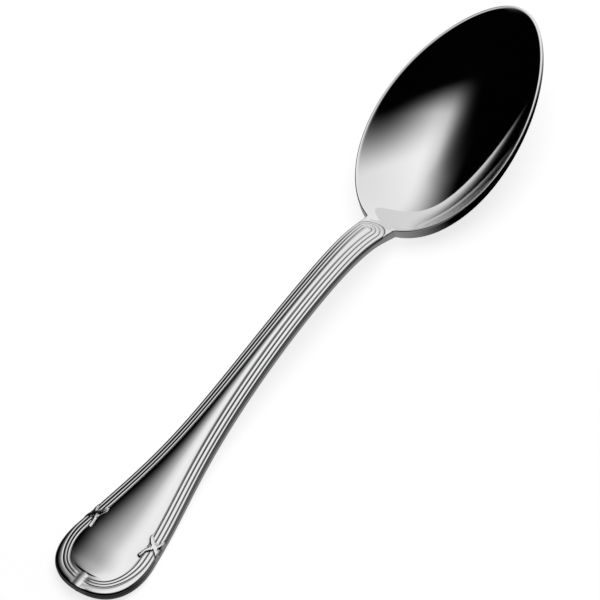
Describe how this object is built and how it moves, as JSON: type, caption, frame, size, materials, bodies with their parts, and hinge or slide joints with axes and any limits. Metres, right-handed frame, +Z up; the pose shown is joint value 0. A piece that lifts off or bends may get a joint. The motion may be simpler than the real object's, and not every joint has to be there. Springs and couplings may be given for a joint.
{
  "type": "spoon",
  "caption": "Table spoon with an egg-shaped bowl, an arched neck and a flared handle whose smooth panel is framed by a reeded border tied with crossed ribbons.",
  "frame": {"origin": "on the table, under the middle of the spoon's bounding box", "axes": "+X along the spoon from the handle's end to the bowl's tip, +Y across it to its left, +Z up out of the bowl; the spoon lies on its back"},
  "size_m": [0.205, 0.0436, 0.0248],
  "materials": {
    "steel": "mirror-polished stainless steel"
  },
  "bodies": {
    "root": {"bowl": "steel", "handle": "steel"}
  },
  "joints": []
}
